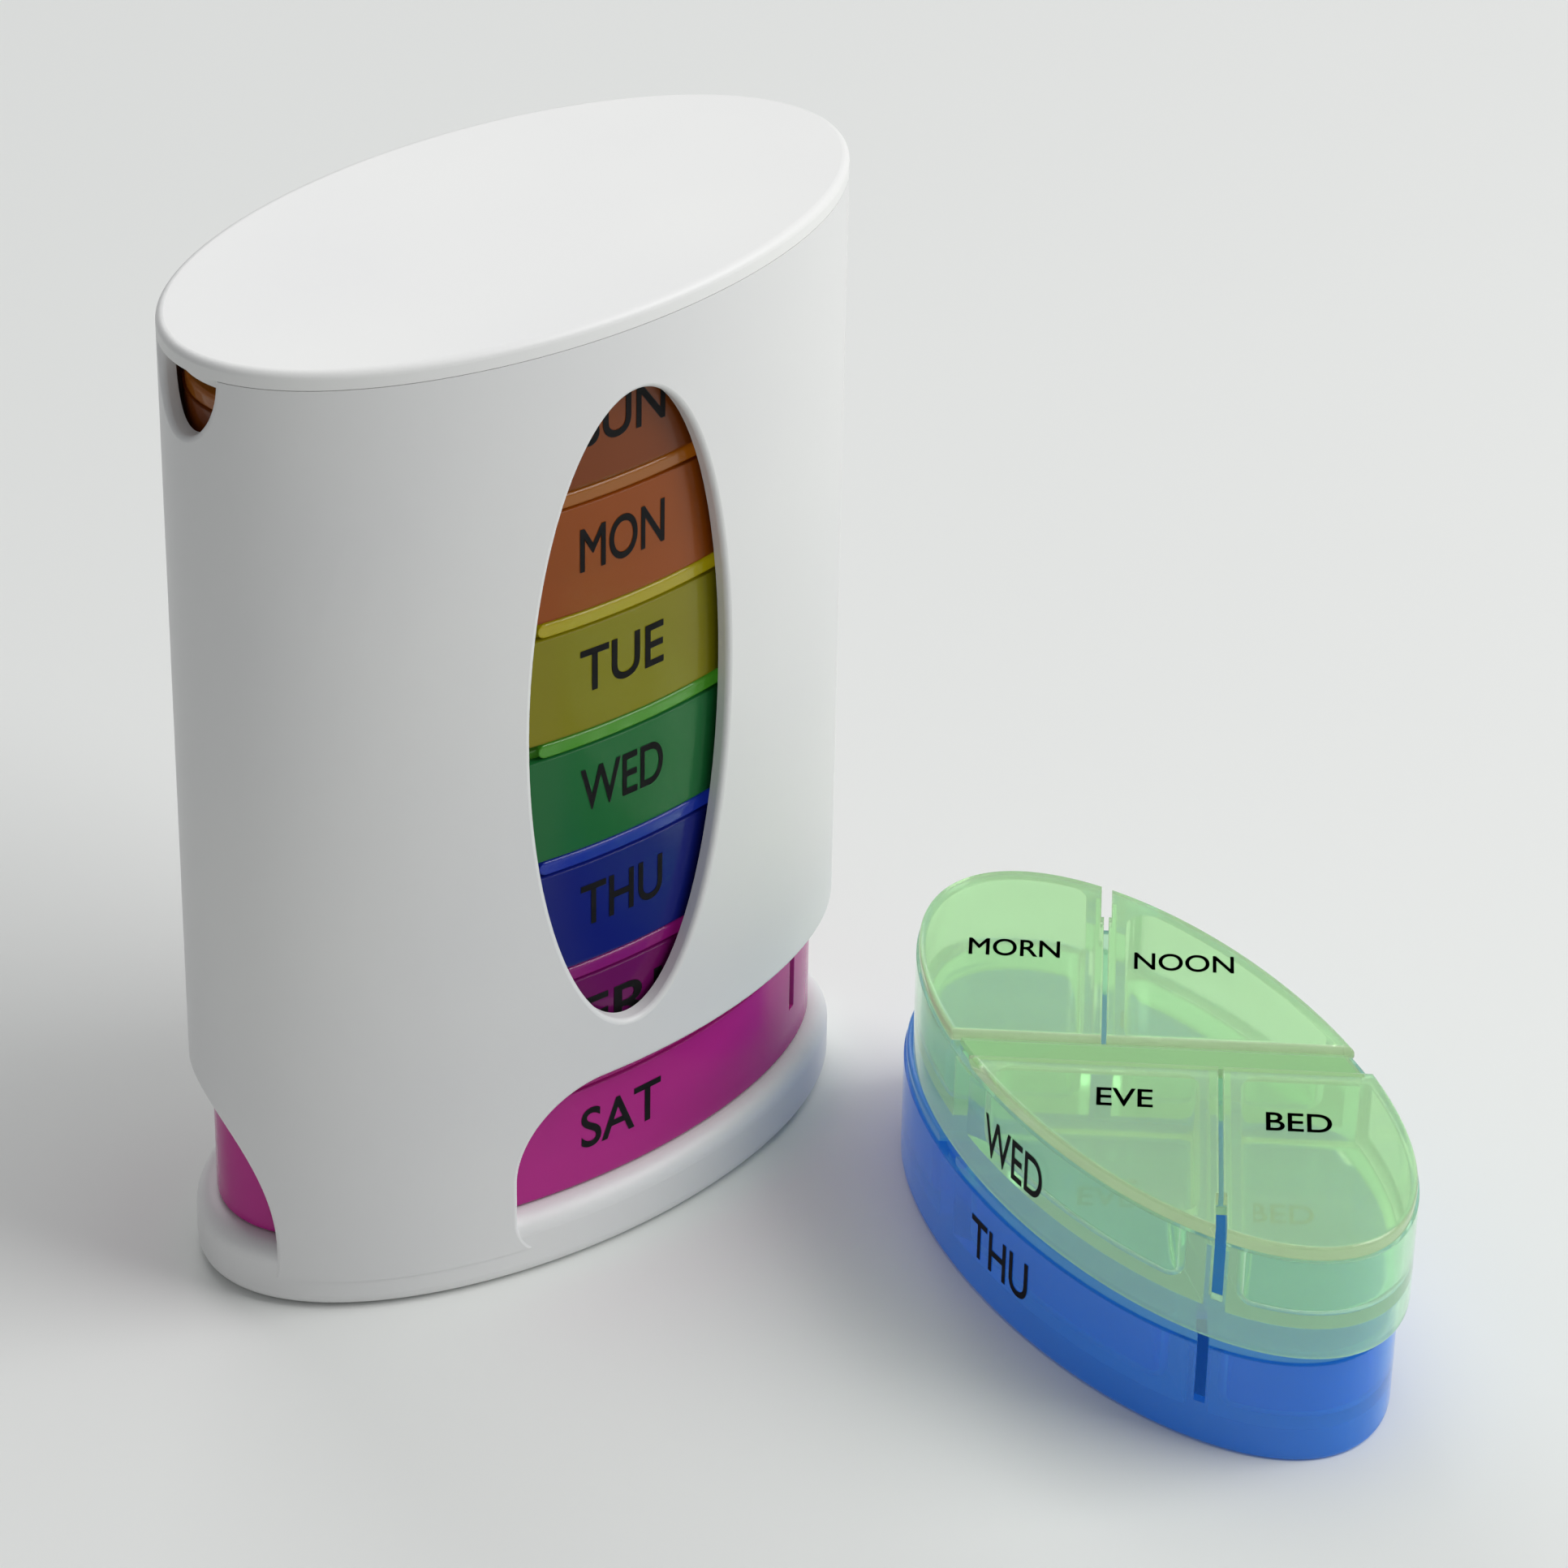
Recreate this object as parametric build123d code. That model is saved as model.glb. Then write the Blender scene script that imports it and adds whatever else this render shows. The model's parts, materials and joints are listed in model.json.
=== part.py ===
from build123d import *
import os
from math import cos, radians, sin, sqrt

# A pill organizer tower. An oval sleeve with a lift-off cap holds a stack of seven day trays, and a second
# pair of trays stands beside it. Each tray has four cups under four flaps that hinge on a diagonal spine.
# Millimetres, +Z up. The origin is at the middle of the tower's foot, the front is -Y, trays leave along +X.

# Tower sleeve
TOWER_LENGTH = 92.0
TOWER_WIDTH = 48.0
TOWER_WALL = 2.0
FLOOR_HEIGHT = 8.5
FLOOR_THICKNESS = 2.4
HEADROOM = 4.2
FOOT_INSET = 0.1
FOOT_LENGTH = TOWER_LENGTH - 2 * FOOT_INSET
FOOT_WIDTH = TOWER_WIDTH - 2 * FOOT_INSET
FOOT_WALL = 3.4
FOOT_TOP_ROUND = 2.4
FOOT_BOTTOM_ROUND = 2.0

# Openings in the sleeve
WINDOW_WIDTH = 0.315 * TOWER_LENGTH
WINDOW_HEIGHT = 87.0
WINDOW_BOTTOM = 33.0
OPENING_EDGE_ROUND = 0.6
EXIT_FRONT_START = -0.18 * TOWER_LENGTH
EXIT_BACK_START = -0.02 * TOWER_LENGTH
EXIT_HEADROOM = 1.2
EXIT_UPPER_ROUND = 12.0
EXIT_LOWER_ROUND = 6.0
FINGER_ARCH_WIDTH = 0.5625 * TOWER_WIDTH
FINGER_ARCH_HEIGHT = 20.0
FINGER_ARCH_SHIFT = 0.1125 * TOWER_WIDTH
CAP_NOTCH_WIDTH = 10.4
CAP_NOTCH_DEPTH = 9.0

# Cap
CAP_THICKNESS = 2.2
CAP_EDGE_ROUND = 0.9
CAP_SEAT_GAP = 0.1
CAP_PLUG_DEPTH = 2.4
CAP_PLUG_WALL = 1.5
CAP_PLUG_CLEARANCE = 0.25

# Day trays, bottom of the stack first
DAYS = ("sat", "fri", "thu", "wed", "tue", "mon", "sun")
TRAY_PITCH = 16.5
STACK_GAP = 0.2
TRAY_CLEARANCE = 0.8
TRAY_WALL = 1.2
CUP_BOTTOM = 4.2
CUP_CORNER = 2.4
CUP_FLOOR_ROUND = 2.0
SKIRT_ROUND = 0.5
SPINE_ANGLE = 55.0
DIVIDER_SHIFT = 7.0
DIVIDER_HALF_GAP = 1.3
SLOT_WIDTH = 1.3
SLOT_DEPTH = 7.0
SLOT_BOTTOM = 6.0

# Flaps and their hinges
FLAP_THICKNESS = 1.8
FLAP_SEAT_GAP = 0.2
FLAP_SPACING = 0.6
FLAP_INSET = 0.3
FLAP_EDGE_ROUND = 0.5
HINGE_OFFSET = 3.0
HINGE_CLEARANCE = 0.08

# Loose pair beside the tower, upper tray last
LOOSE_DAYS = ("thu", "wed")
LOOSE_X = 46.0
LOOSE_Y = -67.5
LOOSE_TURN = -97.0
LOOSE_OVERHANG = 2.0

# Sizes that follow from the ones above
BORE_LENGTH = TOWER_LENGTH - 2 * TOWER_WALL
BORE_WIDTH = TOWER_WIDTH - 2 * TOWER_WALL
TRAY_LENGTH = BORE_LENGTH - 2 * TRAY_CLEARANCE
TRAY_WIDTH = BORE_WIDTH - 2 * TRAY_CLEARANCE
FLAP_TOP = TRAY_PITCH - STACK_GAP
FLAP_BOTTOM = FLAP_TOP - FLAP_THICKNESS
HINGE_HEIGHT = FLAP_TOP - FLAP_THICKNESS / 2
TRAY_RIM = FLAP_BOTTOM - FLAP_SEAT_GAP
CUP_FLOOR = CUP_BOTTOM + TRAY_WALL
STACK_BOTTOM = FLOOR_HEIGHT + STACK_GAP
STACK_TOP = STACK_BOTTOM + len(DAYS) * TRAY_PITCH - STACK_GAP
SLEEVE_TOP = STACK_TOP + HEADROOM
EXIT_TOP = STACK_BOTTOM + FLAP_TOP + EXIT_HEADROOM
LIP_BOTTOM = FLOOR_HEIGHT / 3
REACH = TOWER_LENGTH + TOWER_WIDTH

# The four cups: which side of the spine, and which side of that half's divider
CUPS = {"morn": (1, -1), "noon": (1, 1), "eve": (-1, -1), "bed": (-1, 1)}


def column(length, width, bottom, top):
    """An upright oval column."""
    return Pos(0, 0, bottom) * extrude(Ellipse(length / 2, width / 2), top - bottom)


def make_foot():
    """The foot that carries the floor, all but flush with the sleeve, with a round lip in its mouth."""
    foot = column(FOOT_LENGTH, FOOT_WIDTH, 0, FLOOR_HEIGHT)
    foot = fillet(foot.edges().group_by(Axis.Z)[-1], FOOT_TOP_ROUND)
    return fillet(foot.edges().group_by(Axis.Z)[0], FOOT_BOTTOM_ROUND)


def window_cut():
    """The tall oval window in the broad front."""
    middle = WINDOW_BOTTOM + WINDOW_HEIGHT / 2
    outline = Plane.XZ * Pos(0, middle) * Ellipse(WINDOW_WIDTH / 2, WINDOW_HEIGHT / 2)
    return extrude(outline, TOWER_WIDTH)


def exit_cut(start_x, reach):
    """One side of the mouth round the +X end that lets the bottom tray out, rounded where it starts."""
    height = EXIT_TOP - LIP_BOTTOM
    outline = Pos(start_x + REACH / 2, LIP_BOTTOM + height / 2) * Rectangle(REACH, height)
    start = outline.vertices().sort_by(Axis.X)[:2].sort_by(Axis.Y)
    outline = fillet(start[1], EXIT_UPPER_ROUND)
    start = outline.vertices().sort_by(Axis.Y)[:2].sort_by(Axis.X)
    outline = fillet(start[0], EXIT_LOWER_ROUND)
    return extrude(Plane.XZ * outline, reach)


def end_cut(outline):
    """A cut along X through the -X end only. The outline's X is the tower's Y, its Y the tower's Z."""
    end = Plane(origin=(-REACH, 0, 0), x_dir=(0, 1, 0), z_dir=(1, 0, 0))
    return extrude(end * outline, REACH - TOWER_WIDTH / 4)


def finger_cut():
    """The arch for the finger that pushes the bottom tray, set a little towards the back."""
    arch = Pos(0, FLOOR_HEIGHT) * Ellipse(FINGER_ARCH_WIDTH / 2, FINGER_ARCH_HEIGHT)
    clip = Pos(0, LIP_BOTTOM + REACH / 2) * Rectangle(FINGER_ARCH_WIDTH, REACH)
    return end_cut(Pos(FINGER_ARCH_SHIFT, 0) * (arch & clip))


def cap_notch_cut():
    """The half oval under the cap that a fingernail reaches into."""
    hang = Pos(0, SLEEVE_TOP) * Ellipse(CAP_NOTCH_WIDTH / 2, CAP_NOTCH_DEPTH)
    return end_cut(hang & Pos(0, SLEEVE_TOP - REACH / 2) * Rectangle(REACH, REACH))


def on_outside(edge):
    """Whether an edge runs over the sleeve's outside, above the foot's lip."""
    spots = [edge.position_at(share) for share in (0.3, 0.7)]
    ovals = [(2 * spot.X / TOWER_LENGTH) ** 2 + (2 * spot.Y / TOWER_WIDTH) ** 2 for spot in spots]
    return max(abs(oval - 1) for oval in ovals) < 0.001 and edge.bounding_box().max.Z > FLOOR_HEIGHT


def open_up(wall, cut):
    """Takes a cut out of the wall and rounds the cut's outer edge."""
    opened = wall - cut
    rim = [edge for edge in new_edges(wall, cut, combined=opened) if on_outside(edge)]
    return fillet(rim, OPENING_EDGE_ROUND)


def make_tower_wall():
    """The oval tube above the foot, with its window, exit mouth, finger arch and cap notch."""
    wall = column(TOWER_LENGTH, TOWER_WIDTH, FLOOR_HEIGHT / 2, SLEEVE_TOP)
    wall -= column(BORE_LENGTH, BORE_WIDTH, 0, SLEEVE_TOP + TOWER_WALL)
    wall = open_up(wall, window_cut())
    wall = open_up(wall, exit_cut(EXIT_FRONT_START, TOWER_WIDTH) + exit_cut(EXIT_BACK_START, -TOWER_WIDTH))
    wall = open_up(wall, finger_cut())
    return open_up(wall, cap_notch_cut())


def make_tower_sleeve():
    """Wall, floor and foot in one moulding that is open at the top and hollow underneath."""
    sleeve = make_tower_wall() + make_foot()
    under_length, under_width = FOOT_LENGTH - 2 * FOOT_WALL, FOOT_WIDTH - 2 * FOOT_WALL
    return sleeve - column(under_length, under_width, -FOOT_WALL, FLOOR_HEIGHT - FLOOR_THICKNESS)


def make_cap():
    """Flat oval cap with a rounded edge and a short plug that centres it in the sleeve."""
    seat = SLEEVE_TOP + CAP_SEAT_GAP
    plate = column(TOWER_LENGTH, TOWER_WIDTH, seat, seat + CAP_THICKNESS)
    plate = fillet(plate.edges().group_by(Axis.Z)[-1], CAP_EDGE_ROUND)
    plug_length, plug_width = BORE_LENGTH - 2 * CAP_PLUG_CLEARANCE, BORE_WIDTH - 2 * CAP_PLUG_CLEARANCE
    plug = column(plug_length, plug_width, seat - CAP_PLUG_DEPTH, seat)
    hollow_length, hollow_width = plug_length - 2 * CAP_PLUG_WALL, plug_width - 2 * CAP_PLUG_WALL
    return plate + plug - column(hollow_length, hollow_width, seat - 2 * CAP_PLUG_DEPTH, seat)


def divider_place(side):
    """Where a half's divider meets the spine, measured along the spine from the tray's middle."""
    return -side * DIVIDER_SHIFT


def beside_divider(side, end, spine_gap, divider_gap):
    """The quarter of the plane that lies past the spine and past the divider, as a large face."""
    along = divider_place(side) + end * (divider_gap + REACH / 2)
    return Rot(0, 0, SPINE_ANGLE) * Pos(along, side * (spine_gap + REACH / 2)) * Rectangle(REACH, REACH)


def cup_outline(side, end, inset, wall):
    """A cup's plan: the oval less its wall, past the ribs of the spine and the divider."""
    oval = Ellipse(TRAY_LENGTH / 2 - inset, TRAY_WIDTH / 2 - inset)
    return oval & beside_divider(side, end, HINGE_OFFSET - TRAY_WALL + wall, DIVIDER_HALF_GAP + wall)


def cup_pocket(side, end):
    """The space inside one cup, with a rounded floor for easy picking."""
    outline = cup_outline(side, end, TRAY_WALL, TRAY_WALL)
    outline = fillet(outline.vertices(), CUP_CORNER)
    pocket = Pos(0, 0, CUP_FLOOR) * extrude(outline, TRAY_PITCH - CUP_FLOOR)
    return fillet(pocket.edges().group_by(Axis.Z)[0], CUP_FLOOR_ROUND)


def divider_slot(side, bottom, top):
    """The open slot at a divider's outer end, between the two neighbouring cups and flaps."""
    turn = radians(SPINE_ANGLE)
    along, across = (cos(turn), sin(turn)), (-side * sin(turn), side * cos(turn))
    place = divider_place(side)
    a, b = TRAY_LENGTH / 2, TRAY_WIDTH / 2
    square = (across[0] / a) ** 2 + (across[1] / b) ** 2
    cross = place * (along[0] * across[0] / a**2 + along[1] * across[1] / b**2)
    rest = place**2 * ((along[0] / a) ** 2 + (along[1] / b) ** 2) - 1
    rim = (-cross + sqrt(cross**2 - square * rest)) / square
    outline = Pos(place, side * rim) * Rectangle(SLOT_WIDTH, 2 * SLOT_DEPTH)
    return Pos(0, 0, bottom) * extrude(Rot(0, 0, SPINE_ANGLE) * outline, top - bottom)


def make_tray_body():
    """Four cups in an oval skirt, moulded as one thin-walled piece that is open underneath."""
    body = column(TRAY_LENGTH, TRAY_WIDTH, 0, TRAY_RIM)
    body = fillet(body.edges().group_by(Axis.Z)[0], SKIRT_ROUND)
    inner_length, inner_width = TRAY_LENGTH - 2 * TRAY_WALL, TRAY_WIDTH - 2 * TRAY_WALL
    under = column(inner_length, inner_width, -TRAY_WALL, TRAY_RIM - TRAY_WALL)
    for side, end in CUPS.values():
        outline = cup_outline(side, end, 0, 0)
        under -= Pos(0, 0, CUP_BOTTOM) * extrude(outline, TRAY_PITCH)
    body -= under
    for side, end in CUPS.values():
        body -= cup_pocket(side, end)
    for side in (1, -1):
        body -= divider_slot(side, SLOT_BOTTOM, TRAY_PITCH)
    return body


def along_spine(section):
    """A long bar of the given section. The section's X runs across the spine and its Y upwards."""
    bar = extrude(Plane.YZ * section, REACH, both=True)
    return Rot(0, 0, SPINE_ANGLE) * bar


def make_lid_spine():
    """The bar on the tray's middle rib whose two hollow flanks carry the flaps' round hinge edges."""
    groove = FLAP_THICKNESS / 2 + HINGE_CLEARANCE
    lip = groove * cos(radians(45))
    half_top, half_base = HINGE_OFFSET - groove, HINGE_OFFSET - lip
    section = Pos(0, (TRAY_RIM + HINGE_HEIGHT) / 2) * Rectangle(2 * half_base, HINGE_HEIGHT - TRAY_RIM)
    for side in (1, -1):
        section -= Pos(side * HINGE_OFFSET, HINGE_HEIGHT) * Circle(groove)
    bar = along_spine(section)
    return bar & column(TRAY_LENGTH - 2 * TRAY_WALL, TRAY_WIDTH - 2 * TRAY_WALL, 0, TRAY_PITCH)


def flap_oval():
    """The flaps' common outline, rounded where it meets their top."""
    oval = column(TRAY_LENGTH - 2 * FLAP_INSET, TRAY_WIDTH - 2 * FLAP_INSET, 0, FLAP_TOP)
    return fillet(oval.edges().group_by(Axis.Z)[-1], FLAP_EDGE_ROUND)


def make_flap(side, end):
    """One cup's flap: a flat plate whose hinge edge is fully round about the hinge axis."""
    half = FLAP_THICKNESS / 2
    with BuildSketch() as section:
        with BuildLine():
            Polyline((0, half), (REACH, half), (REACH, -half), (0, -half))
            ThreePointArc((0, -half), (-half, 0), (0, half))
        make_face()
    profile = section.sketch if side > 0 else mirror(section.sketch, Plane.YZ)
    plate = along_spine(Pos(side * HINGE_OFFSET, HINGE_HEIGHT) * profile)
    plate &= extrude(beside_divider(side, end, -HINGE_OFFSET, FLAP_SPACING / 2), TRAY_PITCH)
    return (plate & flap_oval()) - divider_slot(side, 0, TRAY_PITCH)


def make_tray():
    """All pieces of one tray in its own frame, standing on z = 0."""
    pieces = {"tray": make_tray_body(), "lid_spine": make_lid_spine()}
    for name, (side, end) in CUPS.items():
        pieces[f"{name}_flap"] = make_flap(side, end)
    return pieces


def place_trays():
    """Every tray's pieces where they stand: seven in the sleeve, two beside it."""
    tray = make_tray()
    placed = {}
    for level, day in enumerate(DAYS):
        for name, solid in tray.items():
            placed[f"{day}_{name}"] = Pos(0, 0, STACK_BOTTOM + level * TRAY_PITCH) * solid
    for level, day in enumerate(LOOSE_DAYS):
        back = (len(LOOSE_DAYS) - 1 - level) * LOOSE_OVERHANG
        spot = Pos(LOOSE_X, LOOSE_Y, level * TRAY_PITCH) * Rot(0, 0, LOOSE_TURN) * Pos(-back, 0, 0)
        for name, solid in tray.items():
            placed[f"loose_{day}_{name}"] = spot * solid
    return placed


nodes = {"tower_sleeve": make_tower_sleeve(), "top_cap": make_cap()}
nodes.update(place_trays())
os.makedirs("parts", exist_ok=True)
for node, shape in nodes.items():
    export_step(shape, f"parts/{node}.step")
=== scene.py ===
import json
from math import cos, radians, sin, sqrt

import bpy
from mathutils import Matrix, Vector

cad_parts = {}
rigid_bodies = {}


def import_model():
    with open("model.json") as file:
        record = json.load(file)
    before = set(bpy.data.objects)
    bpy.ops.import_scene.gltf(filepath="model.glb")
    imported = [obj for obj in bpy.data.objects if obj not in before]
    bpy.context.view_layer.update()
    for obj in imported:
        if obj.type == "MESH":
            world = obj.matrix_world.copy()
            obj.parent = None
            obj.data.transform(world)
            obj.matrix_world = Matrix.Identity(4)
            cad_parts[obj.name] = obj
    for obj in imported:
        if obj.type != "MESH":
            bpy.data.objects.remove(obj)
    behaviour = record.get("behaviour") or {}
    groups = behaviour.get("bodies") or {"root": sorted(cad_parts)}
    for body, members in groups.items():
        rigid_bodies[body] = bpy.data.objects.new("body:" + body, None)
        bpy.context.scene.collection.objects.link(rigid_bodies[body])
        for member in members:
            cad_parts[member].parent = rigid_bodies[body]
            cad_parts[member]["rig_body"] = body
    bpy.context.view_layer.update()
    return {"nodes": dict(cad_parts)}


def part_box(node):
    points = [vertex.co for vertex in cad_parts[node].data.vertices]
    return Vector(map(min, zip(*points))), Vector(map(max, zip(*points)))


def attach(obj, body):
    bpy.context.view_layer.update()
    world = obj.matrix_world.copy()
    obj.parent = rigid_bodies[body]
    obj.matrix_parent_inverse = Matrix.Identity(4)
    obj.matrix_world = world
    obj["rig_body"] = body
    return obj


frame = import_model()


# Sleeve. The white oval tube with its floor and foot, one polypropylene moulding with the window, the exit
# mouth, the finger arch and the cap notch cut through its wall. The mould leaves a satin skin with a very
# fine grain.
class Wire:
    """One shader socket. Arithmetic on it adds the nodes that work it out."""

    def __init__(self, tree, socket=None):
        self.tree, self.socket = tree, socket

    def feed(self, target, value):
        if isinstance(value, Wire):
            self.tree.links.new(value.socket, target)
        else:
            target.default_value = value

    def make(self, kind, settings, sockets, out=0):
        made = self.tree.nodes.new(kind)
        for name, value in settings.items():
            setattr(made, name, value)
        for name, value in sockets.items():
            self.feed(made.inputs[name], value)
        return Wire(self.tree, made.outputs[out])

    def __add__(self, other):
        return self.make("ShaderNodeMath", {"operation": "ADD"}, {0: self, 1: other})

    def __mul__(self, other):
        return self.make("ShaderNodeMath", {"operation": "MULTIPLY"}, {0: self, 1: other})

    __radd__, __rmul__ = __add__, __mul__

    def noise(self, scale, detail=2.0, stretch=(1.0, 1.0, 1.0)):
        place = self.make("ShaderNodeTexCoord", {}, {}, "Object")
        spot = self.make("ShaderNodeVectorMath", {"operation": "MULTIPLY"}, {0: place, 1: stretch})
        return self.make("ShaderNodeTexNoise", {}, {"Vector": spot, "Scale": scale, "Detail": detail}, "Fac")

    def between(self, low, high):
        sockets = {"Value": self, "From Min": low, "From Max": high}
        return self.make("ShaderNodeMapRange", {"clamp": True}, sockets)

    def mix(self, a, b):
        return self.make("ShaderNodeMix", {"data_type": "RGBA"}, {0: self, 6: a, 7: b}, 2)


def new_material(name):
    material = bpy.data.materials.new(name)
    material.use_nodes = True
    return material, material.node_tree.nodes["Principled BSDF"].inputs, Wire(material.node_tree)


def satin_white(name, bright, shade, grain):
    material, skin, wire = new_material(name)
    fine = wire.noise(grain, 3.0)
    bump = {"Strength": 0.12, "Distance": 0.00004, "Height": fine}
    wire.feed(skin["Base Color"], wire.noise(22.0).between(0.35, 0.65).mix(shade, bright))
    wire.feed(skin["Roughness"], 0.36 + 0.12 * fine)
    wire.feed(skin["Normal"], wire.make("ShaderNodeBump", {}, bump, "Normal"))
    wire.feed(skin["IOR"], 1.49)
    return material


nodes = frame["nodes"]


def dress(node, material):
    nodes[node].data.materials.clear()
    nodes[node].data.materials.append(material)


dress("tower_sleeve", satin_white("sleeve_white", bright=(0.83, 0.83, 0.82, 1), shade=(0.80, 0.80, 0.80, 1),
                                  grain=2600.0))

# Cap. A flat white lid of the same polypropylene that presses into the top of the sleeve. Its white is
# painted a touch brighter than the sleeve's, painted light for the light on its top, and it is a touch
# smoother.
dress("top_cap", satin_white("cap_white", bright=(0.91, 0.91, 0.89, 1), shade=(0.88, 0.88, 0.87, 1),
                             grain=3200.0))

# Trays in the sleeve. Seven see-through polystyrene mouldings, each with four flaps that clip to a spine.
# Their tints are painted dark, painted shade for the little light that gets in behind them, and the flaps'
# tints are painted lighter and glow faintly, a painted highlight for the bright line along the flap edges.
MM = 0.001
EDGE_ROUND = 0.3 * MM


def tinted(name, tint, clear, rough, shine, painted_glow):
    material, skin, wire = new_material(name)
    flow = wire.noise(45.0, 2.0, (1.0, 1.0, 3.0)).between(0.3, 0.7)
    colour = flow.mix([0.96 * part for part in tint] + [1], [*tint, 1])
    soft_edge = wire.make("ShaderNodeBevel", {"samples": 4}, {"Radius": EDGE_ROUND})
    ripple = {"Strength": 0.05, "Distance": 0.0001, "Height": wire.noise(160.0), "Normal": soft_edge}
    wire.feed(skin["Base Color"], colour)
    # The tint is given off as emission too: a painted glow, light the plastic gives though it is no lamp.
    wire.feed(skin["Emission Color"], colour)
    wire.feed(skin["Emission Strength"], painted_glow)
    wire.feed(skin["Roughness"], rough + 0.06 * wire.noise(700.0))
    wire.feed(skin["Normal"], wire.make("ShaderNodeBump", {}, ripple, "Normal"))
    wire.feed(skin["IOR"], 1.5)
    wire.feed(skin["Specular IOR Level"], shine)
    wire.feed(skin["Transmission Weight"], clear)
    return material


FLAPS = ("morn", "noon", "eve", "bed")


def dress_tray(tray, moulding, lid):
    dress(f"{tray}_tray", moulding)
    dress(f"{tray}_lid_spine", lid)
    for flap in FLAPS:
        dress(f"{tray}_{flap}_flap", lid)


# Per day: tray tint painted dark (painted shade), flap tint painted lighter (painted highlight on their
# edges).
TOWER_TINTS = {
    "sat": ((0.66, 0.028, 0.35), (0.72, 0.055, 0.42)),
    "fri": ((0.22, 0.009, 0.15), (0.50, 0.024, 0.35)),
    "thu": ((0.011, 0.020, 0.25), (0.03, 0.08, 0.62)),
    "wed": ((0.018, 0.19, 0.05), (0.16, 0.55, 0.055)),
    "tue": ((0.31, 0.28, 0.0075), (0.70, 0.61, 0.013)),
    "mon": ((0.38, 0.085, 0.006), (0.60, 0.22, 0.013)),
    "sun": ((0.26, 0.058, 0.007), (0.46, 0.17, 0.022)),
}
for day, (deep, bright) in TOWER_TINTS.items():
    dress_tray(day, tinted(f"{day}_tray_tint", deep, clear=0.30, rough=0.14, shine=0.15, painted_glow=0.0),
               tinted(f"{day}_lid_tint", bright, clear=0.70, rough=0.10, shine=0.4, painted_glow=0.05))

# Loose pair. The same trays out in the open: a blue one with a green one stacked on it. Their tints are
# painted paler than in the sleeve, made clearer and glow faintly, painted light for the light that comes
# through them from all round, so they look pale and clear; the blue shows through the green cup floors.
LOOSE_TINTS = {
    "loose_thu": ((0.07, 0.40, 0.99), (0.15, 0.55, 0.99), 0.70),
    "loose_wed": ((0.68, 0.99, 0.74), (0.80, 0.995, 0.69), 0.84),
}
for tray, (deep, bright, clear) in LOOSE_TINTS.items():
    dress_tray(tray, tinted(f"{tray}_tray_tint", deep, clear, rough=0.05, shine=0.5, painted_glow=0.05),
               tinted(f"{tray}_lid_tint", bright, clear, rough=0.03, shine=0.5, painted_glow=0.05))

# Day words. Thin black ink, pad printed in the middle of each tray's broad side and bent round its oval
# wall. The letters' outlines are thickened to the weight of the real print.
INK_LIFT, STROKE = 0.06 * MM, 0.010
DAY_WIDE, DAY_TALL, DAY_HEIGHT = 12.2 * MM, 5.9 * MM, 8.3 * MM
LOOSE_TURN = radians(-97)
TRAYS = tuple(TOWER_TINTS) + tuple(LOOSE_TINTS)
scene = bpy.context.scene
ink, skin, wire = new_material("black_ink")
wire.feed(skin["Base Color"], wire.noise(400.0).mix((0.010, 0.010, 0.012, 1), (0.030, 0.028, 0.030, 1)))
wire.feed(skin["Roughness"], 0.5 + 0.1 * wire.noise(900.0))
wire.feed(skin["Specular IOR Level"], 0.2)


def tray_place(tray):
    low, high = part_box(f"{tray}_tray")
    middle = (low + high) / 2
    turn = LOOSE_TURN if tray in LOOSE_TINTS else 0.0
    return Matrix.Translation((middle.x, middle.y, low.z)) @ Matrix.Rotation(turn, 4, "Z")


def printed(name, word, wide, tall, put, body):
    curve = bpy.data.curves.new(name, "FONT")
    curve.body = word
    curve.bevel_depth, curve.bevel_resolution = STROKE, 0
    text = bpy.data.objects.new(name + "_text", curve)
    scene.collection.objects.link(text)
    bpy.context.view_layer.update()
    mesh = bpy.data.meshes.new_from_object(text.evaluated_get(bpy.context.evaluated_depsgraph_get()))
    bpy.data.objects.remove(text)
    left, right = min(v.co.x for v in mesh.vertices), max(v.co.x for v in mesh.vertices)
    foot, head = min(v.co.y for v in mesh.vertices), max(v.co.y for v in mesh.vertices)
    for v in mesh.vertices:
        u = (v.co.x - left) / (right - left) - 0.5
        w = (v.co.y - foot) / (head - foot) - 0.5
        v.co = put(u * wide, w * tall)
    mesh.materials.clear()
    mesh.materials.append(ink)
    label = bpy.data.objects.new(name, mesh)
    scene.collection.objects.link(label)
    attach(label, body)


tray_low, tray_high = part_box("sat_tray")
HALF_LONG = (tray_high.x - tray_low.x) / 2 + INK_LIFT
HALF_WIDE = (tray_high.y - tray_low.y) / 2 + INK_LIFT
for tray in TRAYS:
    place = tray_place(tray)
    printed(f"{tray}_day_word", tray[-3:].upper(), DAY_WIDE, DAY_TALL,
            lambda u, w: place @ Vector((u, -HALF_WIDE * sqrt(1 - (u / HALF_LONG) ** 2), DAY_HEIGHT + w)),
            nodes[f"{tray}_tray"]["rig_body"])

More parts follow.
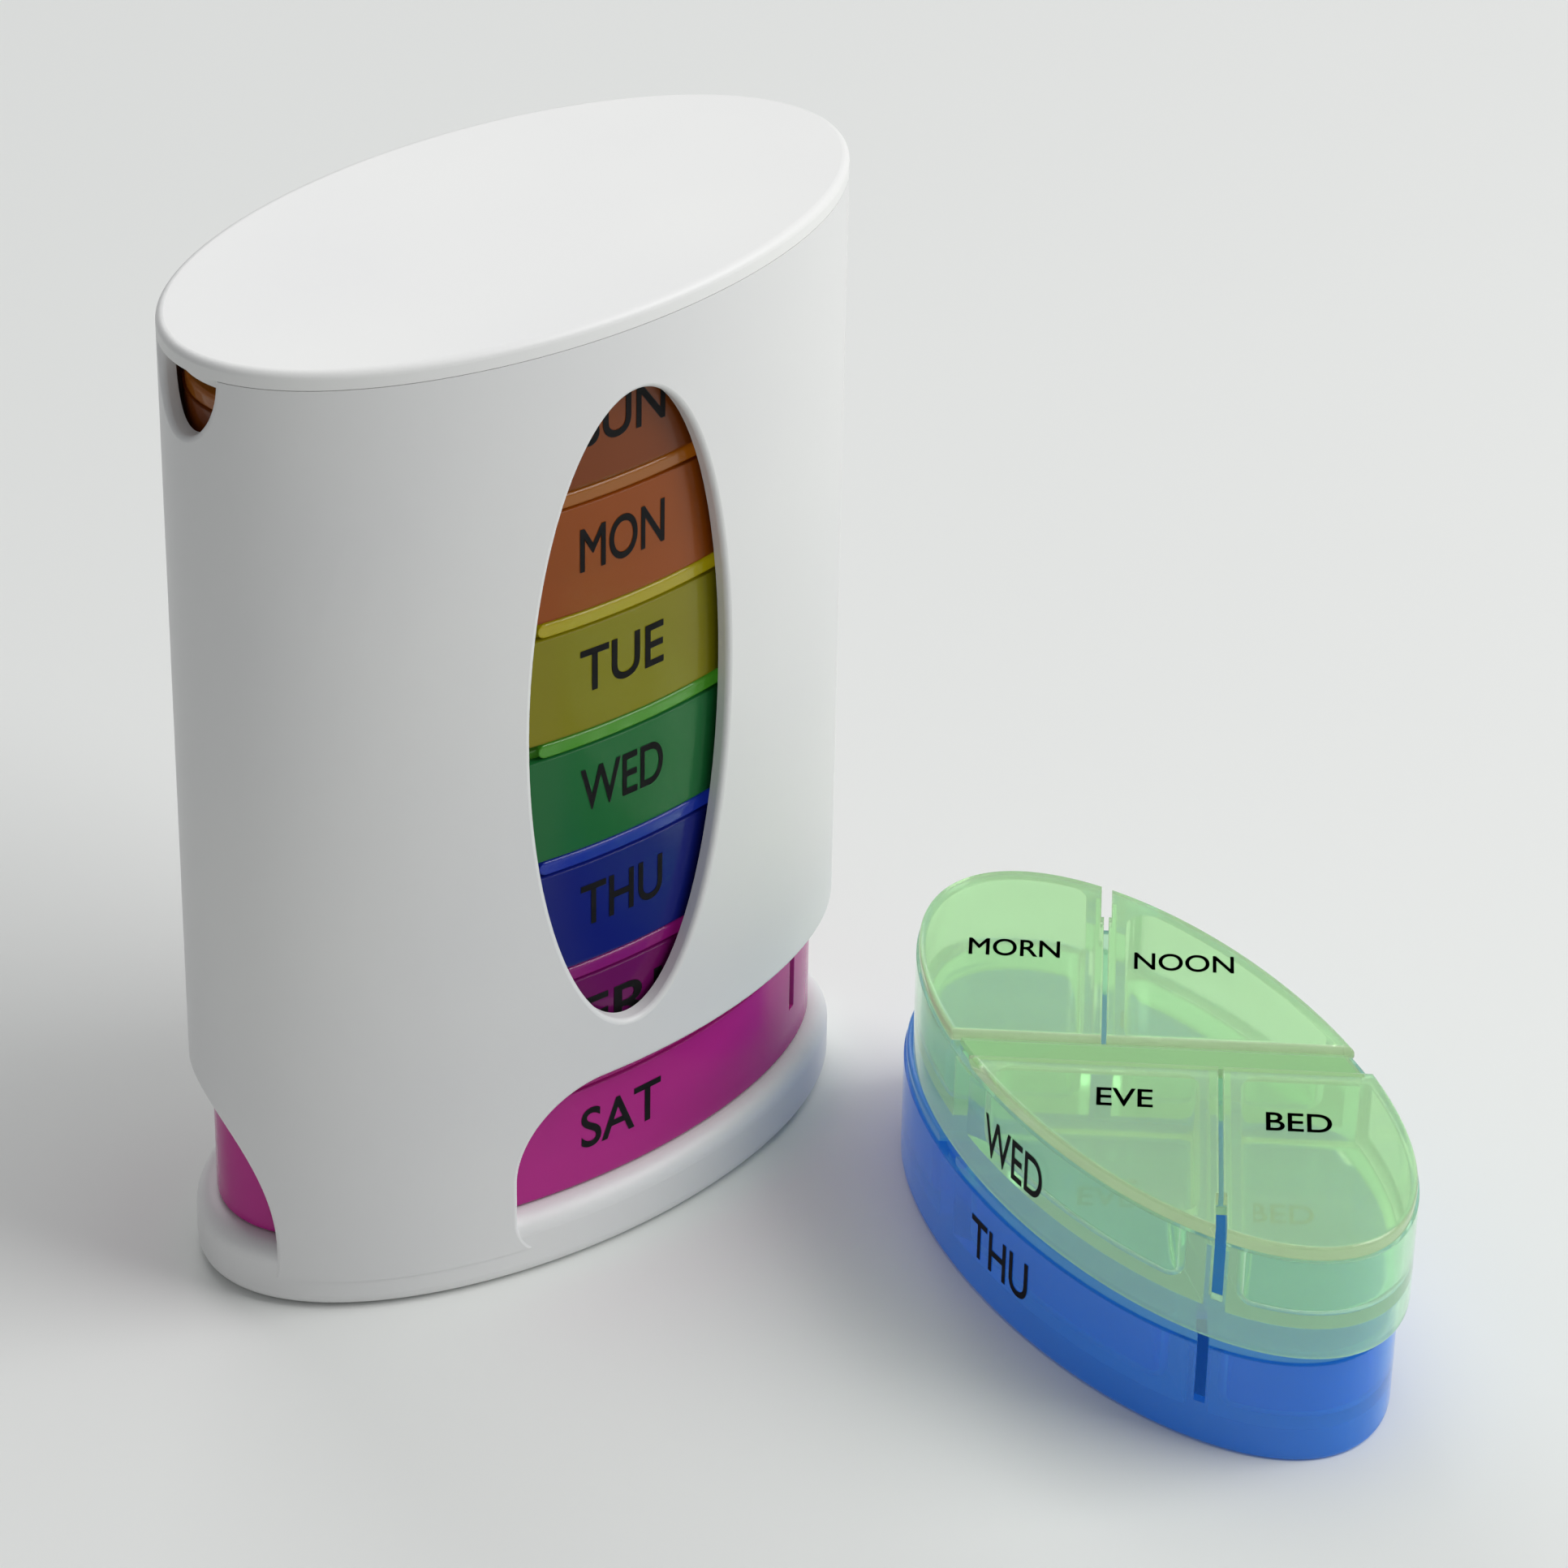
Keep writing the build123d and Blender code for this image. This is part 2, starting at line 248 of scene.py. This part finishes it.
# Time words. The same ink on top of every flap, one word each, read along the spine. Each has its width and
# the place of its middle along and across the spine, in millimetres.
TIME_WORDS = {
    "morn": (11.2, -18.2, 20.0),
    "noon": (12.2, 2.6, 18.4),
    "eve": (6.7, -4.4, -9.8),
    "bed": (7.8, 16.2, -13.2),
}
TIME_TALL = 3.6 * MM
SPINE = radians(55)
ALONG, ACROSS = Vector((cos(SPINE), sin(SPINE), 0)), Vector((-sin(SPINE), cos(SPINE), 0))
for tray in TRAYS:
    place = tray_place(tray)
    for flap, (wide, along, across) in TIME_WORDS.items():
        node = f"{tray}_{flap}_flap"
        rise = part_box(node)[1].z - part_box(f"{tray}_tray")[0].z + INK_LIFT
        middle = along * MM * ALONG + across * MM * ACROSS + Vector((0, 0, rise))
        printed(f"{tray}_{flap}_word", flap.upper(), wide * MM, TIME_TALL,
                lambda u, w: place @ (middle + u * ALONG + w * ACROSS), nodes[node]["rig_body"])

# Table. A plain pale sheet that the tower and the pair stand on. It lies just under the foot and keeps their
# soft shadows.
TABLE_HALF, TABLE_DROP = 6.0, 0.1 * MM
sheet = bpy.data.meshes.new("table")
corners = ((-1, -1), (1, -1), (1, 1), (-1, 1))
sheet.from_pydata([(x * TABLE_HALF, y * TABLE_HALF, -TABLE_DROP) for x, y in corners], [], [(0, 1, 2, 3)])
table = bpy.data.objects.new("table", sheet)
scene.collection.objects.link(table)
paper, skin, wire = new_material("table_paper")
wire.feed(skin["Base Color"], wire.noise(3.0).mix((0.84, 0.85, 0.83, 1), (0.87, 0.88, 0.86, 1)))
wire.feed(skin["Roughness"], 0.7 + 0.1 * wire.noise(40.0))
sheet.materials.append(paper)


# Studio light. A wide soft box well to the right, so that the left end of the sleeve falls into shade, one
# overhead for the cap and the flaps, a weaker one behind for the edges, and an even pale room.
def soft_box(name, spot, aim, wide, tall, watts):
    lamp = bpy.data.lights.new(name, "AREA")
    lamp.shape, lamp.size, lamp.size_y, lamp.energy = "RECTANGLE", wide, tall, watts
    box = bpy.data.objects.new(name, lamp)
    box.location = spot
    box.rotation_mode = "QUATERNION"
    box.rotation_quaternion = (Vector(aim) - Vector(spot)).to_track_quat("-Z", "Y")
    scene.collection.objects.link(box)


soft_box("right_box", (0.58, -0.60, 0.80), (0.0, -0.02, 0.06), wide=0.7, tall=0.7, watts=7.6)
soft_box("top_box", (0.25, 0.05, 1.10), (0.02, -0.02, 0.10), wide=0.8, tall=0.8, watts=2.4)
soft_box("back_box", (0.30, 0.85, 0.75), (0.0, 0.0, 0.05), wide=0.6, tall=0.4, watts=2.2)
room = bpy.data.worlds.new("room")
room.use_nodes = True
room.node_tree.nodes["Background"].inputs["Color"].default_value = (0.95, 0.97, 1.0, 1)
room.node_tree.nodes["Background"].inputs["Strength"].default_value = 0.24
scene.world = room

# Camera. It looks at the front of the tower from above and to the left, with a small tilt.
AZIMUTH, ELEVATION, TILT = radians(-36.4), radians(32.9), radians(1.14)
TOWER_MIDDLE, AIM = Vector((0, 0, 0.0651)), Vector((0.0235, -0.0225, 0.0565))
DISTANCE, LENS_LENGTH = 0.733, 140.0
away = Vector((sin(AZIMUTH) * cos(ELEVATION), -cos(AZIMUTH) * cos(ELEVATION), sin(ELEVATION)))
eye = TOWER_MIDDLE + DISTANCE * away
look = (eye - AIM).normalized()
level = Vector((0, 0, 1)).cross(look).normalized()
side = cos(TILT) * level + sin(TILT) * look.cross(level)
lens = bpy.data.cameras.new("camera")
lens.lens, lens.sensor_width, lens.clip_start, lens.clip_end = LENS_LENGTH, 36.0, 0.05, 50.0
camera = bpy.data.objects.new("camera", lens)
camera.matrix_world = Matrix((side, look.cross(side), look)).transposed().to_4x4()
camera.location = eye
scene.collection.objects.link(camera)
scene.camera = camera
scene.view_settings.view_transform = "Standard"
